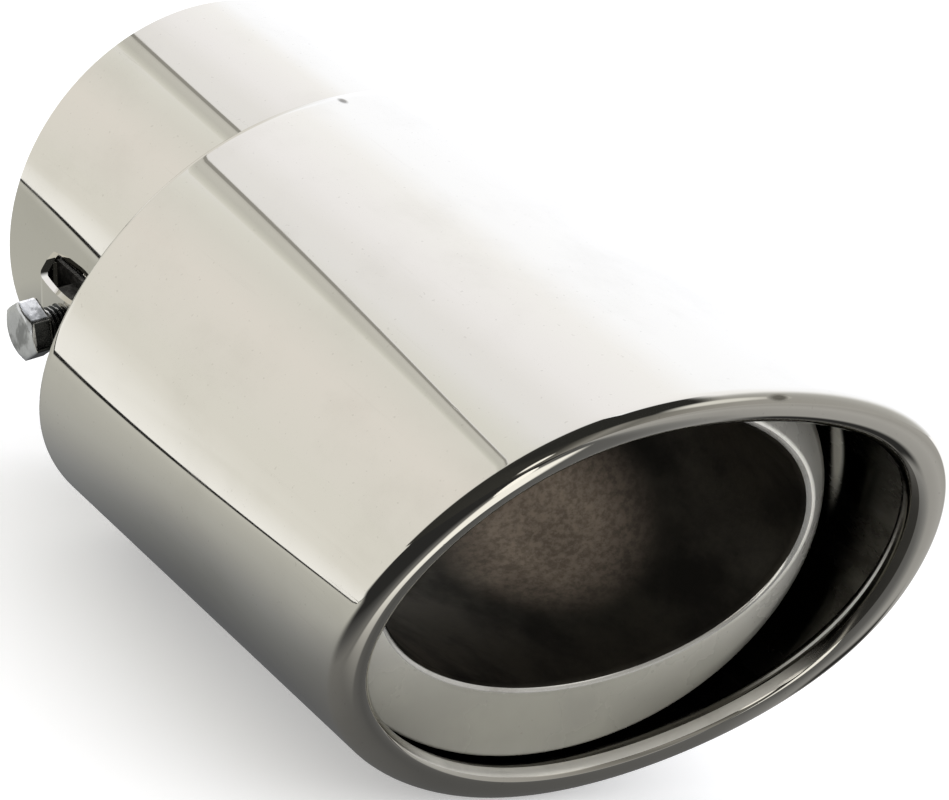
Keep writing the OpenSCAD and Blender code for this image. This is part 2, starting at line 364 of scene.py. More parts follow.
def build_pocket_shade_bead():
    """A dark bead between the louvre's slit and the nut's plate, put where the pocket is in shade."""
    angle = math.radians(-170.0)
    out = np.array([0, math.cos(angle), math.sin(angle)])
    across = np.array([0, -math.sin(angle), math.cos(angle)])
    turns = np.linspace(0, 2 * math.pi, 16, endpoint=False)
    rings = []
    for x in np.linspace(12.5, 27.5, 90):
        end = min(1.0, (x - 12.4) / 1.2, (27.6 - x) / 1.2)
        thick = 0.36 * end * (1 + 0.12 * math.sin(x * 5.1) + 0.08 * math.sin(x * 11.3 + 1))
        centre = np.array([x, 0, 0]) + out * 31.15
        rings.append(centre + thick * (np.outer(np.cos(turns), out) + 1.3 * np.outer(np.sin(turns), across)))
    around = len(turns)
    faces = [
        (i * around + k, i * around + (k + 1) % around, (i + 1) * around + (k + 1) % around, (i + 1) * around + k)
        for i in range(len(rings) - 1)
        for k in range(around)
    ]
    faces.append(tuple(range(around))[::-1])
    faces.append(tuple(range((len(rings) - 1) * around, len(rings) * around)))
    return add_mesh("pocket_shade_bead", np.concatenate(rings), faces)


# Materials


def new_material(name):
    material = bpy.data.materials.new(name)
    material.use_nodes = True
    nodes, links = material.node_tree.nodes, material.node_tree.links
    return material, nodes, links, nodes["Principled BSDF"]


def new_group(name, numbers, results):
    """A node group with named number sockets in and named value sockets out."""
    tree = bpy.data.node_groups.new(name, "ShaderNodeTree")
    for label, given in numbers:
        socket = tree.interface.new_socket(label, in_out="INPUT", socket_type="NodeSocketFloat")
        socket.default_value = given
    for label in results:
        tree.interface.new_socket(label, in_out="OUTPUT", socket_type="NodeSocketFloat")
    source = tree.nodes.new("NodeGroupInput")
    sink = tree.nodes.new("NodeGroupOutput")
    return tree, source.outputs, sink.inputs


def use_group(nodes, tree, **numbers):
    node = nodes.new("ShaderNodeGroup")
    node.node_tree = tree
    for label, number in numbers.items():
        node.inputs[label].default_value = number
    return node.outputs


def calc(nodes, links, kind, first, second, clamp=False):
    """Plain arithmetic on two values or numbers."""
    node = nodes.new("ShaderNodeMath")
    node.operation = kind
    node.use_clamp = clamp
    for socket, given in zip(node.inputs, (first, second)):
        if isinstance(given, (int, float)):
            socket.default_value = given
        else:
            links.new(given, socket)
    return node.outputs[0]


def spotted(nodes, links, size, stretch=(1, 1, 1), detail=3.0, rough=0.5, shift=0.0):
    """Noise with spots of about the given size in millimetres, on the piece itself."""
    place = nodes.new("ShaderNodeTexCoord")
    spread = nodes.new("ShaderNodeMapping")
    links.new(place.outputs["Object"], spread.inputs["Vector"])
    spread.inputs["Scale"].default_value = tuple(1 / (size * MM * k) for k in stretch)
    spread.inputs["Location"].default_value = (shift, shift * 0.7, shift * 0.3)
    noise = nodes.new("ShaderNodeTexNoise")
    noise.inputs["Scale"].default_value = 1
    noise.inputs["Detail"].default_value = detail
    noise.inputs["Roughness"].default_value = rough
    links.new(spread.outputs["Vector"], noise.inputs["Vector"])
    return noise.outputs[0]


def wear_group():
    """Smudges from handling, fine lines from polishing, and specks."""
    tree, given, found = new_group(
        "handled_metal",
        [("Smudge size", 1.0), ("Line reach", 1.0)],
        ["Smudge", "Line", "Speck"],
    )
    nodes, links = tree.nodes, tree.links
    place = nodes.new("ShaderNodeTexCoord").outputs["Object"]

    def noise(scale, stretch, detail, grow=None):
        spread = nodes.new("ShaderNodeMapping")
        links.new(place, spread.inputs["Vector"])
        spread.inputs["Scale"].default_value = stretch
        texture = nodes.new("ShaderNodeTexNoise")
        texture.inputs["Detail"].default_value = detail
        texture.inputs["Roughness"].default_value = 0.6
        links.new(spread.outputs["Vector"], texture.inputs["Vector"])
        if grow is None:
            texture.inputs["Scale"].default_value = scale
        else:
            links.new(calc(nodes, links, "DIVIDE", scale, grow), texture.inputs["Scale"])
        return texture.outputs[0]

    smudge = smooth_value(nodes, links, noise(45.0, (1, 1.4, 1.4), 5.0, given["Smudge size"]), 0.46, 0.72)
    lines = noise(900.0, (0.045, 1, 1), 2.0, given["Line reach"])
    turned_lines = noise(700.0, (1, 0.12, 0.12), 2.0, given["Line reach"])
    line = calc(
        nodes, links, "MAXIMUM",
        smooth_value(nodes, links, lines, 0.66, 0.74),
        calc(nodes, links, "MULTIPLY", smooth_value(nodes, links, turned_lines, 0.70, 0.78), 0.6),
    )
    speck = smooth_value(nodes, links, noise(1500.0, (1, 1, 1), 1.0), 0.72, 0.78)
    links.new(smudge, found["Smudge"])
    links.new(line, found["Line"])
    links.new(speck, found["Speck"])
    return tree


def near_place(nodes, links, centre, reach):
    """1 at a place given in millimetres, falling to 0 at the reach."""
    geometry = nodes.new("ShaderNodeTexCoord").outputs["Object"]
    apart = nodes.new("ShaderNodeVectorMath")
    apart.operation = "SUBTRACT"
    links.new(geometry, apart.inputs[0])
    apart.inputs[1].default_value = tuple(c * MM for c in centre)
    scale = nodes.new("ShaderNodeVectorMath")
    scale.operation = "DIVIDE"
    links.new(apart.outputs[0], scale.inputs[0])
    scale.inputs[1].default_value = tuple(r * MM for r in reach)
    length = nodes.new("ShaderNodeVectorMath")
    length.operation = "LENGTH"
    links.new(scale.outputs[0], length.inputs[0])
    return smooth_value(nodes, links, length.outputs["Value"], 1.0, 0.35)


def dented(nodes, links, shader, height, strength, depth):
    bump = nodes.new("ShaderNodeBump")
    bump.inputs["Strength"].default_value = strength
    bump.inputs["Distance"].default_value = depth * MM
    links.new(height, bump.inputs["Height"])
    links.new(bump.outputs["Normal"], shader.inputs["Normal"])
    return bump


def polished_steel(wear):
    material, nodes, links, shader = new_material("polished_steel")
    found = use_group(nodes, wear, **{"Smudge size": 1.0, "Line reach": 1.0})
    smudge, line, speck = found["Smudge"], found["Line"], found["Speck"]
    marks = near_place(nodes, links, (40.0, -10.4, 33.2), (1.3, 0.9, 3.0))
    marks = calc(nodes, links, "MAXIMUM", marks, near_place(nodes, links, (134.0, -3.2, 32.5), (0.55, 2.3, 0.6)))
    marks = calc(nodes, links, "MAXIMUM", marks, near_place(nodes, links, (18.2, -31.2, -9.6), (0.8, 0.8, 0.5)))
    tone = laid_over(nodes, links, (0.70, 0.68, 0.625), (0.665, 0.645, 0.59), smudge)
    tone = laid_over(nodes, links, tone, (0.55, 0.53, 0.49), calc(nodes, links, "MULTIPLY", line, 0.06))
    tone = laid_over(nodes, links, tone, (0.40, 0.38, 0.34), calc(nodes, links, "MULTIPLY", speck, 0.22))
    tone = laid_over(nodes, links, tone, (0.13, 0.12, 0.10), calc(nodes, links, "MULTIPLY", marks, 0.85))
    links.new(tone, shader.inputs["Base Color"])
    shader.inputs["Metallic"].default_value = 1
    rough = calc(nodes, links, "MULTIPLY_ADD", smudge, 0.035)
    rough.node.inputs[2].default_value = 0.03
    rough = calc(nodes, links, "ADD", rough, calc(nodes, links, "MULTIPLY", line, 0.06))
    rough = calc(nodes, links, "ADD", rough, calc(nodes, links, "MULTIPLY", marks, 0.25))
    links.new(rough, shader.inputs["Roughness"])
    height = calc(nodes, links, "SUBTRACT", calc(nodes, links, "MULTIPLY", smudge, 0.1), calc(nodes, links, "MULTIPLY", line, 0.2))
    height = calc(nodes, links, "SUBTRACT", height, calc(nodes, links, "MULTIPLY", marks, 6.0))
    dented(nodes, links, shader, height, 0.35, 0.02)
    return material


def shaded_inside(wear):
    """The shell's inside wall behind the lip, painted dark as shade, with dirt mottling and a painted highlight on the
    far side.
    """
    material, nodes, links, shader = new_material("shell_inside_painted_shade")
    found = use_group(nodes, wear, **{"Smudge size": 0.8, "Line reach": 1.2})
    dirt = spotted(nodes, links, 6.0, (2, 1, 1), 5.0, 0.65)
    dirt = smooth_value(nodes, links, dirt, 0.38, 0.68)
    # Painted shade: the inside wall is toned dark, mottled by dirt.
    tone = laid_over(nodes, links, (0.12, 0.115, 0.10), (0.07, 0.065, 0.055), dirt)
    tone = laid_over(nodes, links, tone, (0.20, 0.19, 0.16), calc(nodes, links, "MULTIPLY", found["Line"], 0.3))
    # Painted highlight: a lighter, less metallic streak on the far inside wall stands in for a reflection.
    painted_highlight = near_place(nodes, links, (103.1, 43.0, 10.0), (2.0, 8.0, 13.0))
    tone = laid_over(nodes, links, tone, (1.0, 0.97, 0.84), painted_highlight)
    links.new(tone, shader.inputs["Base Color"])
    links.new(calc(nodes, links, "SUBTRACT", 1.0, painted_highlight), shader.inputs["Metallic"])
    rough = calc(nodes, links, "MULTIPLY_ADD", dirt, 0.22)
    rough.node.inputs[2].default_value = 0.14
    links.new(rough, shader.inputs["Roughness"])
    dented(nodes, links, shader, dirt, 0.25, 0.05)
    return material


def curled_edge(wear):
    """The lip's inner curl: lighter and less metallic along the bottom as a painted reflection, and darker steel
    elsewhere as painted shade.
    """
    material, nodes, links, shader = new_material("curled_edge")
    found = use_group(nodes, wear, **{"Smudge size": 0.5, "Line reach": 1.0})
    place = nodes.new("ShaderNodeSeparateXYZ")
    links.new(nodes.new("ShaderNodeTexCoord").outputs["Object"], place.inputs[0])
    # Painted reflection along the bottom of the curl; painted shade elsewhere.
    painted_reflection = calc(
        nodes, links, "MULTIPLY",
        smooth_value(nodes, links, place.outputs["Z"], -13 * MM, -24 * MM),
        smooth_value(nodes, links, place.outputs["Y"], -32 * MM, -16 * MM),
    )
    tone = laid_over(nodes, links, (0.20, 0.19, 0.165), (0.66, 0.64, 0.57), painted_reflection)
    tone = laid_over(nodes, links, tone, (0.30, 0.28, 0.24), calc(nodes, links, "MULTIPLY", found["Smudge"], 0.35))
    links.new(tone, shader.inputs["Base Color"])
    dull = calc(nodes, links, "MULTIPLY", painted_reflection, 0.8)
    links.new(calc(nodes, links, "SUBTRACT", 1.0, dull), shader.inputs["Metallic"])
    shader.inputs["Roughness"].default_value = 0.12
    return material


def lit_edge(wear):
    """The curl's innermost turn, painted dark as shade, with a painted highlight line along the far side."""
    material, nodes, links, shader = new_material("lit_edge")
    found = use_group(nodes, wear, **{"Smudge size": 0.5, "Line reach": 1.0})
    # Painted highlight: a lighter, less metallic line stands in for light on the far side.
    lit = near_place(nodes, links, (112.0, 44.0, -9.0), (26.0, 20.0, 23.0))
    tone = laid_over(nodes, links, (0.16, 0.15, 0.13), (1.0, 0.99, 0.95), lit)
    tone = laid_over(nodes, links, tone, (0.12, 0.11, 0.10), calc(nodes, links, "MULTIPLY", found["Smudge"], 0.3))
    links.new(tone, shader.inputs["Base Color"])
    links.new(calc(nodes, links, "SUBTRACT", 1.0, lit), shader.inputs["Metallic"])
    shader.inputs["Roughness"].default_value = 0.2
    return material


def satin_face(wear):
    """The flare's face, brushed round and lightly hazed, and painted lighter toward the top."""
    material, nodes, links, shader = new_material("flare_face")
    found = use_group(nodes, wear, **{"Smudge size": 0.7, "Line reach": 0.8})
    haze = smooth_value(nodes, links, spotted(nodes, links, 14.0, (1, 1, 1), 4.0, 0.55, 3.0), 0.35, 0.7)
    brush = spotted(nodes, links, 1.1, (6, 1, 1), 2.0, 0.5)
    place = nodes.new("ShaderNodeSeparateXYZ")
    links.new(nodes.new("ShaderNodeTexCoord").outputs["Object"], place.inputs[0])
    # Painted light: the face is painted lighter toward the top, where light falls.
    height = smooth_value(nodes, links, place.outputs["Z"], -32 * MM, 6 * MM)
    tone = laid_over(nodes, links, (0.365, 0.355, 0.295), (0.325, 0.315, 0.265), haze)
    tone = laid_over(nodes, links, tone, (1.0, 0.98, 0.90), height)
    tone = laid_over(nodes, links, tone, (0.25, 0.23, 0.20), calc(nodes, links, "MULTIPLY", found["Speck"], 0.4))
    links.new(tone, shader.inputs["Base Color"])
    shader.inputs["Metallic"].default_value = 0.05
    rough = calc(nodes, links, "MULTIPLY_ADD", haze, 0.12)
    rough.node.inputs[2].default_value = 0.22
    links.new(rough, shader.inputs["Roughness"])
    dented(nodes, links, shader, brush, 0.04, 0.02)
    return material


def mouth_rim(wear):
    material, nodes, links, shader = new_material("mouth_rim")
    found = use_group(nodes, wear, **{"Smudge size": 0.5, "Line reach": 1.0})
    tone = laid_over(nodes, links, (0.80, 0.79, 0.745), (0.62, 0.60, 0.55), found["Smudge"])
    links.new(tone, shader.inputs["Base Color"])
    shader.inputs["Metallic"].default_value = 0.75
    rough = calc(nodes, links, "MULTIPLY_ADD", found["Smudge"], 0.12)
    rough.node.inputs[2].default_value = 0.16
    links.new(rough, shader.inputs["Roughness"])
    return material


def sooty_duct(wear):
    """The duct's inside: dark soot, thinner in places, with a reddish-brown speckled stain painted far lighter than its
    own colour as light falling on it.
    """
    material, nodes, links, shader = new_material("sooty_duct")
    found = use_group(nodes, wear, **{"Smudge size": 0.8, "Line reach": 1.0})
    cloud = smooth_value(nodes, links, spotted(nodes, links, 11.0, (1.6, 1, 1), 5.0, 0.6), 0.36, 0.68)
    grain = spotted(nodes, links, 1.3, (1, 1, 1), 6.0, 0.72)
    speckle = smooth_value(nodes, links, grain, 0.38, 0.66)
    # A reddish-brown stain, painted far lighter than the stain's own colour as the light that falls on it.
    patch = near_place(nodes, links, (72.0, 22.0, -17.0), (22.0, 17.0, 18.0))
    rust_and_painted_light = calc(nodes, links, "MULTIPLY", patch, calc(nodes, links, "MULTIPLY_ADD", speckle, 0.6))
    rust_and_painted_light.node.inputs[1].links[0].from_node.inputs[2].default_value = 0.40
    tone = laid_over(nodes, links, (0.040, 0.035, 0.026), (0.014, 0.012, 0.009), cloud)
    tone = laid_over(nodes, links, tone, (0.72, 0.585, 0.47), rust_and_painted_light)
    tone = laid_over(nodes, links, tone, (0.012, 0.011, 0.010), calc(nodes, links, "MULTIPLY", speckle, 0.25))
    links.new(tone, shader.inputs["Base Color"])
    shader.inputs["Metallic"].default_value = 0.35
    shader.inputs["Specular IOR Level"].default_value = 0.2
    rough = calc(nodes, links, "MULTIPLY_ADD", cloud, 0.2)
    rough.node.inputs[2].default_value = 0.42
    links.new(rough, shader.inputs["Roughness"])
    dented(nodes, links, shader, calc(nodes, links, "ADD", grain, cloud), 0.4, 0.12)
    return material


def zinc_plate(wear, name, shade_painted_below):
    """Zinc plate; with the flag set, the sides that look down are painted dark as shade."""
    material, nodes, links, shader = new_material(name)
    found = use_group(nodes, wear, **{"Smudge size": 0.25, "Line reach": 0.5})
    frost = smooth_value(nodes, links, spotted(nodes, links, 1.6, (1, 1, 1), 4.0, 0.6), 0.35, 0.7)
    stain = smooth_value(nodes, links, spotted(nodes, links, 3.0, (1, 1, 1.8), 4.0, 0.6, 5.0), 0.46, 0.62)
    clean = (0.98, 0.98, 0.98) if shade_painted_below else (0.70, 0.71, 0.72)
    tone = laid_over(nodes, links, clean, (0.62, 0.63, 0.64), frost)
    tone = laid_over(nodes, links, tone, (0.16, 0.165, 0.16), calc(nodes, links, "MULTIPLY", stain, 0.7))
    if shade_painted_below:
        # Painted shade: sides whose normal looks down are painted near black.
        turned = nodes.new("ShaderNodeSeparateXYZ")
        links.new(nodes.new("ShaderNodeNewGeometry").outputs["Normal"], turned.inputs[0])
        painted_shade = smooth_value(nodes, links, turned.outputs["Z"], 0.62, 0.42)
        tone = laid_over(nodes, links, tone, (0.014, 0.016, 0.016), calc(nodes, links, "MULTIPLY", painted_shade, 0.97))
    links.new(tone, shader.inputs["Base Color"])
    shader.inputs["Metallic"].default_value = 1
    rough = calc(nodes, links, "MULTIPLY_ADD", frost, 0.10)
    rough.node.inputs[2].default_value = 0.14
    links.new(rough, shader.inputs["Roughness"])
    dented(nodes, links, shader, frost, 0.10, 0.02)
    return material


def shade_dark_zinc(wear):
    """The captive nut and the pocket's bead, painted near black as the pocket's shade."""
    material, nodes, links, shader = new_material("shade_dark_zinc")
    found = use_group(nodes, wear, **{"Smudge size": 0.2, "Line reach": 0.5})
    dirt = smooth_value(nodes, links, spotted(nodes, links, 1.2, (1, 1, 1), 4.0, 0.6), 0.3, 0.6)
    # Painted shade: the nut is toned near black, with mottling.
    tone = laid_over(nodes, links, (0.075, 0.072, 0.066), (0.02, 0.019, 0.017), dirt)
    tone = laid_over(nodes, links, tone, (0.2, 0.2, 0.2), calc(nodes, links, "MULTIPLY", found["Line"], 0.3))
    links.new(tone, shader.inputs["Base Color"])
    shader.inputs["Metallic"].default_value = 0.6
    shader.inputs["Roughness"].default_value = 0.45
    dented(nodes, links, shader, dirt, 0.4, 0.06)
    return material


def place_material(piece, materials, pick):
    """Several materials on one piece, picked for each face by its ring."""
    for material in materials:
        piece.data.materials.append(material)
    picks = np.array([pick(i) for i in range(len(piece.data.polygons) // RING_POINTS)], dtype=np.int32)
    piece.data.polygons.foreach_set("material_index", np.repeat(picks, RING_POINTS))


def floor_paper():
    """Pale paper that the camera sees a little brighter than its shade."""
    material, nodes, links, shader = new_material("floor_paper")
    fibre = spotted(nodes, links, 60.0, (1, 1, 1), 3.0, 0.5)
    tone = laid_over(nodes, links, (0.86, 0.86, 0.85), (0.85, 0.85, 0.84), fibre)
    links.new(tone, shader.inputs["Base Color"])
    shader.inputs["Roughness"].default_value = 0.9
    seen = nodes.new("ShaderNodeLightPath").outputs
    direct = calc(nodes, links, "ADD", seen["Is Camera Ray"], seen["Is Glossy Ray"])
    direct = calc(nodes, links, "ADD", direct, seen["Is Transmission Ray"], True)
    shader.inputs["Emission Color"].default_value = (1, 1, 1, 1)
    links.new(calc(nodes, links, "MULTIPLY", direct, 0.35), shader.inputs["Emission Strength"])
    return material


# Studio


def wall_point(x, turn):
    """A point of the shell or collar at x whose outside faces the named angle, and its normal."""
    ring = circle_ring(COLLAR_R, x) if x < COLLAR_SHOWN else shell_ring(0, x, 0)
    ahead, behind = np.roll(ring, -1, axis=0), np.roll(ring, 1, axis=0)
    facing = np.arctan2(behind[:, 1] - ahead[:, 1], ahead[:, 2] - behind[:, 2])
    facing = np.degrees(np.arctan2(np.sin(facing), np.cos(facing))) % 360
    off = np.abs((facing - turn + 180) % 360 - 180)
    place = ring[int(off.argmin())]
    angle = math.radians(turn)
    return place, np.array([0, math.cos(angle), math.sin(angle)])


def mirrored_place(x, turn, level):
    """Where the camera's ray, mirrored by the wall, meets a level plane."""
    place, normal = wall_point(x, turn)
    ray = place - camera_place()
    ray /= np.linalg.norm(ray)
    ray -= 2 * np.dot(ray, normal) * normal
    return place + ray * ((level - place[2]) / ray[2])


def sheet_course(stations, level, ends):
    """A smooth course through the mirrored places of some stations, with straight ends."""
    places = np.array([mirrored_place(x, turn, level)[:2] for x, turn in stations])
    places = places[np.argsort(places[:, 0])]
    bend = np.polynomial.Polynomial.fit(places[:, 0], places[:, 1], 3)
    slope = bend.deriv()
    first, last = places[0, 0], places[-1, 0]
    xs = np.concatenate([[first - ends], np.linspace(first, last, 60), [last + ends]])
    ys = bend(xs)
    ys[0] = bend(first) - slope(first) * ends
    ys[-1] = bend(last) + slope(last) * ends
    return xs, ys


def smooth_share(value, low, high):
    share = np.clip((value - low) / (high - low), 0, 1)
    return share * share * (3 - 2 * share)


def for_metal_only(piece):
    piece.visible_camera = False
    piece.visible_diffuse = False
    piece.visible_transmission = False
    piece.visible_volume_scatter = False
    piece.visible_shadow = False


def tone_sheet(name, course, offsets, level, material):
    """A level sheet that only the polished metal sees, toned by its distance from a course."""
    xs, ys = course
    points = np.array([(x, y + offset, level) for offset in offsets for x, y in zip(xs, ys)])
    across = len(xs)
    faces = [
        (i * across + k, i * across + k + 1, (i + 1) * across + k + 1, (i + 1) * across + k)
        for i in range(len(offsets) - 1)
        for k in range(across - 1)
    ]
    sheet = add_mesh(name, points, faces)
    values = {
        "from_course": np.repeat(offsets, across),
        "at_collar": 1 - smooth_share(points[:, 0], -34, -18),
    }
    for label, numbers in values.items():
        attribute = sheet.data.attributes.new(label, "FLOAT", "POINT")
        attribute.data.foreach_set("value", numbers.astype(np.float32))
    sheet.data.materials.append(material)
    for_metal_only(sheet)


def smooth_value(nodes, links, value, low, high):
    """0 below low and 1 past high, with a smooth step between."""
    step = nodes.new("ShaderNodeMapRange")
    step.interpolation_type = "SMOOTHSTEP"
    for socket, end in (("From Min", low), ("From Max", high)):
        if isinstance(end, float):
            step.inputs[socket].default_value = end
        else:
            links.new(end, step.inputs[socket])
    links.new(value, step.inputs["Value"])
    return step.outputs["Result"]


def fill_ramp(ramp, stops, low, high):
    """Colour stops given at plain values between low and high."""
    elements = ramp.color_ramp.elements
    while len(elements) < len(stops):
        elements.new(0.5)
    for element, (value, colour) in zip(elements, stops):
        element.position = (value - low) / (high - low)
        element.color = (*colour, 1)


def mesh_value(nodes, label):
    attribute = nodes.new("ShaderNodeAttribute")
    attribute.attribute_name = label
    return attribute.outputs["Fac"]


def value_ramp(nodes, links, value, stops):
    """Colour stops along a plain value."""
    low, high = stops[0][0], stops[-1][0]
    share = nodes.new("ShaderNodeMapRange")
    share.inputs["From Min"].default_value = low
    share.inputs["From Max"].default_value = high
    links.new(value, share.inputs["Value"])
    ramp = nodes.new("ShaderNodeValToRGB")
    links.new(share.outputs["Result"], ramp.inputs[0])
    fill_ramp(ramp, stops, low, high)
    return ramp.outputs["Color"]


def laid_over(nodes, links, below, above, share):
    """One colour over another by a share."""
    mix = nodes.new("ShaderNodeMix")
    mix.data_type = "RGBA"
    for socket, given in ((mix.inputs["Factor"], share), (mix.inputs[6], below), (mix.inputs[7], above)):
        if isinstance(given, tuple):
            socket.default_value = (*given, 1)
        elif isinstance(given, float):
            socket.default_value = given
        else:
            links.new(given, socket)
    return mix.outputs[2]


def glow_paint(name):
    material = bpy.data.materials.new(name)
    material.use_nodes = True
    nodes, links = material.node_tree.nodes, material.node_tree.links
    nodes.clear()
    glow = nodes.new("ShaderNodeEmission")
    out = nodes.new("ShaderNodeOutputMaterial")
    links.new(glow.outputs[0], out.inputs["Surface"])
    return material, nodes, links, glow.inputs["Color"]


def grey(value, warm=0.0):
    return (value * (1 + warm / 2), value, value * (1 - warm))


def add_floor():
    size, level = 4000.0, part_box("outer_shell")[0].z / MM
    points = [(-size, -size, level), (size, -size, level), (size, size, level), (-size, size, level)]
    floor = add_mesh("floor", points, [(0, 1, 2, 3)])
    floor.data.materials.append(floor_paper())
    return level


def add_table_tone(level):
    """A glowing sheet that only the metal sees: painted shade on the table near the tip, and painted light past the
    shade's dark edge.
    """
    paint, nodes, links, colour = glow_paint("table_tone")
    place = nodes.new("ShaderNodeSeparateXYZ")
    links.new(nodes.new("ShaderNodeTexCoord").outputs["Object"], place.inputs[0])
    out = calc(nodes, links, "DIVIDE", place.outputs["X"], MM)
    aside = calc(nodes, links, "DIVIDE", place.outputs["Y"], MM)
    from_course = mesh_value(nodes, "from_course")
    widened = calc(nodes, links, "ADD", calc(nodes, links, "MULTIPLY", mesh_value(nodes, "at_collar"), 0.3), 1.0)
    edge = value_ramp(nodes, links, calc(nodes, links, "DIVIDE", from_course, widened), [
        (-90, (0.95, 0.938, 0.893)),
        (-50, (0.99, 0.98, 0.94)),
        (-4, (1.164, 1.163, 1.157)),
        (-1.7, (1.164, 1.163, 1.157)),
        (-1.4, grey(0.02)),
        (1.4, grey(0.02)),
        (2.0, (0.68, 0.68, 0.64)),
        (10, (0.64, 0.64, 0.60)),
    ])
    # The shade deepens toward the tip's underside, later near the outlet than near the collar.
    shifted = calc(nodes, links, "ADD", aside, calc(nodes, links, "MULTIPLY", smooth_value(nodes, links, out, 0.0, 62.0), 20.0))
    shade = value_ramp(nodes, links, shifted, [
        (-85, (0.635, 0.635, 0.60)),
        (-71, (0.60, 0.60, 0.565)),
        (-62, (0.56, 0.56, 0.53)),
        (-52, (0.51, 0.512, 0.49)),
        (-45, (0.45, 0.452, 0.435)),
        (-38, (0.375, 0.378, 0.37)),
        (-31, (0.295, 0.30, 0.30)),
        (-26, (0.24, 0.245, 0.245)),
        (-20, (0.19, 0.194, 0.195)),
        (-14, (0.15, 0.153, 0.155)),
        (-7, (0.12, 0.122, 0.125)),
        (30, (0.09, 0.09, 0.09)),
        (55, (0.14, 0.14, 0.14)),
        (100, (0.60, 0.60, 0.59)),
        (160, (1.30, 1.31, 1.36)),
    ])
    lifted = calc(nodes, links, "MULTIPLY", smooth_value(nodes, links, aside, 60.0, 30.0), mesh_value(nodes, "at_collar"))
    shade = laid_over(nodes, links, shade, (0.56, 0.56, 0.52), lifted)
    side = laid_over(nodes, links, edge, shade, smooth_value(nodes, links, from_course, 3.0, 12.0))
    front = value_ramp(nodes, links, aside, [
        (-400, grey(0.03)),
        (-92, grey(0.03)),
        (-70, grey(0.10)),
        (-56, grey(0.20, 0.03)),
        (-34, grey(0.145, 0.02)),
        (-12, grey(0.105)),
        (8, grey(0.12)),
        (40, grey(0.15)),
        (54, grey(0.26)),
        (66, grey(0.40, 0.02)),
        (130, grey(0.48, 0.02)),
        (250, grey(0.42, 0.03)),
        (600, grey(0.46, 0.03)),
    ])
    # A painted bright streak on the table runs out ahead of the clamp's side.
    spread = smooth_value(nodes, links, out, 145.0, 185.0)
    half = calc(nodes, links, "ADD", calc(nodes, links, "MULTIPLY", spread, 16.0), 11.0)
    half = calc(nodes, links, "ADD", half, calc(nodes, links, "MAXIMUM", calc(nodes, links, "MULTIPLY", calc(nodes, links, "SUBTRACT", out, 185.0), 0.1), 0.0))
    off = calc(nodes, links, "ADD", aside, calc(nodes, links, "SUBTRACT", 40.0, calc(nodes, links, "MULTIPLY", spread, 26.0)))
    off = calc(nodes, links, "DIVIDE", calc(nodes, links, "ABSOLUTE", off, 0.0), half)
    streak = calc(nodes, links, "MULTIPLY", smooth_value(nodes, links, off, 1.2, 0.7), smooth_value(nodes, links, out, 118.0, 175.0))
    streak = calc(nodes, links, "MULTIPLY", streak, smooth_value(nodes, links, out, 360.0, 270.0))
    # Close to the outlet's far side the table is hidden in shade.
    hidden = calc(nodes, links, "MULTIPLY", smooth_value(nodes, links, out, 142.0, 128.0), smooth_value(nodes, links, aside, 58.0, 68.0))
    hidden = calc(nodes, links, "MULTIPLY", hidden, smooth_value(nodes, links, aside, 98.0, 88.0))
    hidden = calc(nodes, links, "MULTIPLY", hidden, smooth_value(nodes, links, out, 100.0, 115.0))
    front = laid_over(nodes, links, front, grey(0.03), hidden)
    front = laid_over(nodes, links, front, (1.30, 1.28, 1.22), streak)
    near_side = smooth_value(nodes, links, aside, -105.0, -145.0)
    beyond = calc(nodes, links, "MAXIMUM", calc(nodes, links, "SUBTRACT", -145.0, aside), 0.0)
    full = calc(nodes, links, "SUBTRACT", 108.0, calc(nodes, links, "MULTIPLY", near_side, 42.0))
    full = calc(nodes, links, "SUBTRACT", full, calc(nodes, links, "MULTIPLY", beyond, 0.42))
    start = calc(nodes, links, "SUBTRACT", full, 36.0)
    links.new(laid_over(nodes, links, side, front, smooth_value(nodes, links, out, start, full)), colour)
    stations = ((2, 178.0), (14, 178.8), (52, 185.1), (70, 184.5), (83, 183.9), (93, 182.7), (103, 181.8), (113, 180.9))
    xs, ys = sheet_course(stations, level, 60)
    xs = np.concatenate([[-20000, -400], xs, [400, 20000]])
    ys = np.concatenate([[ys[0], ys[0]], ys, [ys[-1]] * 2])
    offsets = np.array([-20000, -600, -200, -90, -50, -4, -1.7, -1.4, 1.4, 2.0, 8, 16, 22, 32, 39, 46, 54, 64, 90, 130, 200, 300, 800, 20000])
    tone_sheet("table_tone", (xs, ys), offsets, level + 0.04, paint)


def add_overhead_tone():
    """The lamp panel's edge: a thin dark line and a grey rim."""
    paint, nodes, links, colour = glow_paint("panel_edge")
    tone = value_ramp(nodes, links, mesh_value(nodes, "from_course"), [
        (-22, (0.93, 0.925, 0.88)),
        (-17, (0.78, 0.78, 0.73)),
        (-12, (0.70, 0.695, 0.66)),
        (-5, (0.73, 0.725, 0.69)),
        (-2.6, (0.66, 0.65, 0.62)),
        (-1.8, (0.36, 0.355, 0.33)),
        (1.2, (0.38, 0.37, 0.35)),
        (1.7, (0.96, 0.96, 0.98)),
        (3, (1.05, 1.05, 1.08)),
    ])
    links.new(tone, colour)
    stations = ((3, 128.5), (15, 129.75), (27, 131.0), (50, 128.3), (64, 130.0), (84, 132.6), (96, 134.2), (109, 136.0))
    course = sheet_course(stations, 100.0, 30)
    offsets = np.array([-22, -17, -12, -5, -2.4, -1.6, 1.2, 1.8, 3])
    tone_sheet("panel_edge", course, offsets, 100.0, paint)


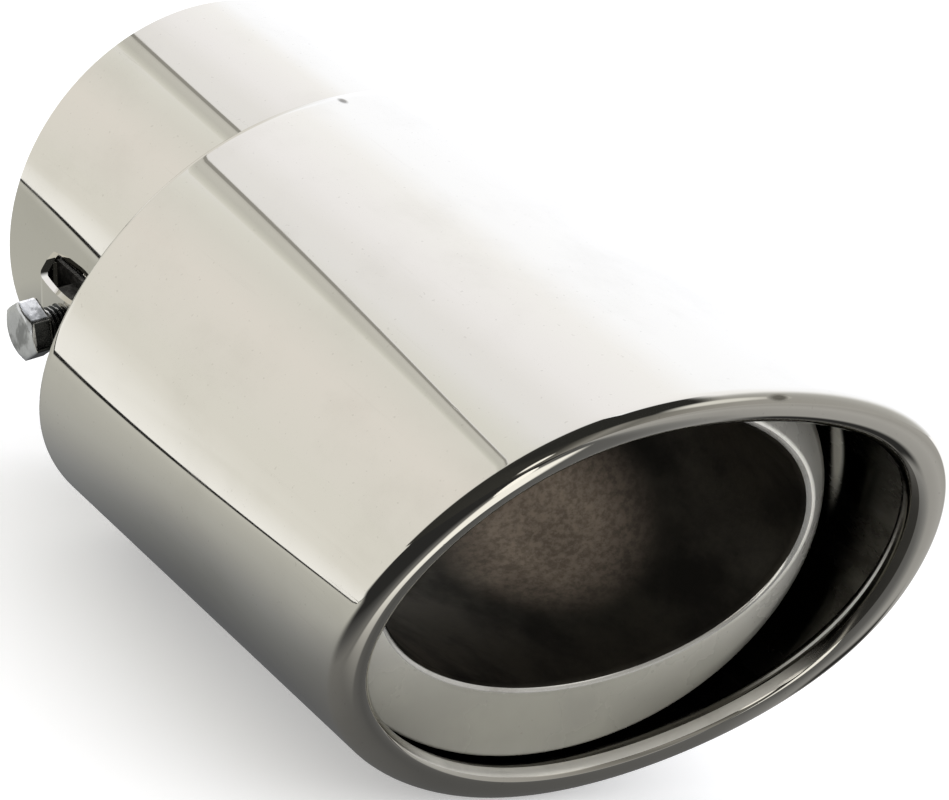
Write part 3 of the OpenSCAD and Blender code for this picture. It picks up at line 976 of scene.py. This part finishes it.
def add_low_lamp():
    """A small low lamp that lights the lip's far lower inside."""
    paint, nodes, links, colour = glow_paint("low_lamp")
    colour.default_value = (1.45, 1.42, 1.35, 1)
    centre = np.array([205.0, -45.0, -8.0])
    toward = np.array([-0.62, 0.76, -0.17])
    toward /= np.linalg.norm(toward)
    long = np.array([0.56, 0.28, -0.6])
    long -= toward * np.dot(long, toward)
    long /= np.linalg.norm(long)
    wide = np.cross(toward, long)
    turns = np.linspace(0, 2 * math.pi, 48, endpoint=False)
    rim = centre + 24 * np.outer(np.cos(turns), long) + 11 * np.outer(np.sin(turns), wide)
    lamp = add_mesh("low_lamp", rim, [tuple(range(48))])
    lamp.data.materials.append(paint)
    for_metal_only(lamp)


def add_world():
    """Soft light from above and the sides, and a dim room behind the camera."""
    world = bpy.data.worlds.new("studio")
    bpy.context.scene.world = world
    world.use_nodes = True
    nodes, links = world.node_tree.nodes, world.node_tree.links
    place = nodes.new("ShaderNodeTexCoord")
    split = nodes.new("ShaderNodeSeparateXYZ")
    links.new(place.outputs["Generated"], split.inputs[0])

    def turn_ramp(rise, run, stops):
        angle = nodes.new("ShaderNodeMath")
        angle.operation = "ARCTAN2"
        links.new(split.outputs[rise], angle.inputs[0])
        links.new(split.outputs[run], angle.inputs[1])
        share = nodes.new("ShaderNodeMapRange")
        share.inputs["From Min"].default_value = -math.pi
        share.inputs["From Max"].default_value = math.pi
        links.new(angle.outputs[0], share.inputs["Value"])
        ramp = nodes.new("ShaderNodeValToRGB")
        links.new(share.outputs["Result"], ramp.inputs[0])
        fill_ramp(ramp, stops, -180, 180)
        return ramp

    side = turn_ramp("Z", "Y", [
        (-180, (0.95, 0.94, 0.90)),
        (-90, (0.90, 0.90, 0.87)),
        (-20, (1.33, 1.36, 1.46)),
        (44, (1.33, 1.36, 1.46)),
        (56, (1.24, 1.245, 1.29)),
        (80, (1.17, 1.165, 1.22)),
        (94, (1.075, 1.07, 1.10)),
        (106, (1.05, 1.05, 1.08)),
        (120, (0.955, 0.955, 0.92)),
        (129, (0.93, 0.92, 0.885)),
        (148, (0.99, 0.958, 0.925)),
        (180, (0.955, 0.94, 0.90)),
    ])
    front = turn_ramp("Y", "X", [
        (-180, (0.03, 0.03, 0.028)),
        (-30, (0.045, 0.044, 0.04)),
        (-14, (0.16, 0.155, 0.14)),
        (-4, (0.30, 0.29, 0.27)),
        (8, (0.20, 0.195, 0.18)),
        (20, (0.30, 0.29, 0.27)),
        (34, (0.41, 0.40, 0.38)),
        (60, (0.46, 0.455, 0.44)),
        (76, (0.55, 0.55, 0.54)),
        (90, (0.66, 0.66, 0.65)),
        (102, (0.85, 0.85, 0.85)),
        (116, (1.15, 1.16, 1.18)),
        (180, (1.3, 1.33, 1.4)),
    ])

    def smooth_step(value, low, high):
        return smooth_value(nodes, links, value, low, high)

    def scaled(value, low, high, start, end):
        share = nodes.new("ShaderNodeMapRange")
        for socket, number in (("From Min", low), ("From Max", high), ("To Min", start), ("To Max", end)):
            share.inputs[socket].default_value = number
        links.new(value, share.inputs["Value"])
        return share.outputs["Result"]

    def times(first, second):
        product = nodes.new("ShaderNodeMath")
        product.operation = "MULTIPLY"
        links.new(first, product.inputs[0])
        links.new(second, product.inputs[1])
        return product.outputs[0]

    # The dim room starts sharply on the camera's side and softly on the far side.
    start = scaled(split.outputs["Y"], -0.1, 0.3, -0.60, -0.45)
    end = scaled(split.outputs["Y"], 0.0, 0.3, -0.52, 0.15)
    dim = smooth_step(split.outputs["X"], start, end)
    metal_only = nodes.new("ShaderNodeLightPath").outputs["Is Glossy Ray"]
    tone = laid_over(nodes, links, side.outputs["Color"], front.outputs["Color"], times(dim, metal_only))

    def patch(centre, reach, soft):
        """1 inside a round patch of the sky, falling off past its reach."""
        apart = nodes.new("ShaderNodeVectorMath")
        apart.operation = "DISTANCE"
        links.new(place.outputs["Generated"], apart.inputs[0])
        apart.inputs[1].default_value = centre
        return times(smooth_step(apart.outputs["Value"], reach + soft, reach), metal_only)

    # Dark ceiling ahead of the tip, on the camera's side of it
    ceiling = times(smooth_step(split.outputs["Z"], 0.55, 0.72), smooth_step(split.outputs["Y"], 0.45, 0.30))
    ceiling = times(times(ceiling, smooth_step(split.outputs["X"], -0.36, -0.26)), metal_only)
    tone = laid_over(nodes, links, tone, (0.03, 0.03, 0.028), ceiling)

    # A soft lamp high ahead, and a small one low ahead
    tone = laid_over(nodes, links, tone, (0.92, 0.91, 0.87), patch((0.64, 0.42, 0.65), 0.10, 0.22))
    tone = laid_over(nodes, links, tone, (1.30, 1.27, 1.20), patch((0.86, -0.46, 0.22), 0.09, 0.05))

    # The wall behind is a little darker than the side light.
    behind = times(smooth_step(split.outputs["X"], -0.82, -0.92), metal_only)
    tone = laid_over(nodes, links, tone, (0.9, 0.88, 0.84), behind)
    links.new(tone, nodes["Background"].inputs["Color"])
    nodes["Background"].inputs["Strength"].default_value = 1


def main():
    add_camera()
    add_world()
    level = add_floor()
    add_table_tone(level)
    add_overhead_tone()
    add_low_lamp()
    wear = wear_group()
    steel = polished_steel(wear)

    shell, curl_start, curl_end, inner_end = build_outer_shell()

    def shell_part(i):
        if i < curl_start or i > inner_end:
            return 0
        if i < curl_end:
            return 1
        return 3 if curl_end + 2 <= i < curl_end + 4 else 2

    place_material(shell, [steel, curled_edge(wear), shaded_inside(wear), lit_edge(wear)], shell_part)
    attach(shell, "root")
    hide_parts("outer_shell")

    liner, duct_end, bend_end, back = build_inner_liner()

    def liner_part(i):
        if i < duct_end + 5:
            return 0
        if i < duct_end + 8:
            return 1
        return 2

    place_material(liner, [sooty_duct(wear), mouth_rim(wear), satin_face(wear)], liner_part)
    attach(liner, "root")
    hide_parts("inner_liner")

    screw, side_end = build_clamp_screw()
    for material in (zinc_plate(wear, "grimy_zinc", True), zinc_plate(wear, "bright_zinc", False)):
        screw.data.materials.append(material)
    on_face = (np.arange(len(screw.data.polygons)) // SCREW_POINTS >= side_end).astype(np.int32)
    screw.data.polygons.foreach_set("material_index", on_face)
    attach(screw, "root")
    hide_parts("clamp_screw")

    # The nut and a dark bead in the pocket are painted near black as the pocket's shade.
    painted_shade = shade_dark_zinc(wear)
    dirt = build_pocket_shade_bead()
    dirt.data.materials.append(painted_shade)
    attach(dirt, "root")

    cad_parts["inlet_collar"].data.materials[0] = steel
    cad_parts["clamp_nut"].data.materials[0] = painted_shade

    scene = bpy.context.scene
    scene.view_settings.view_transform = "Standard"


main()
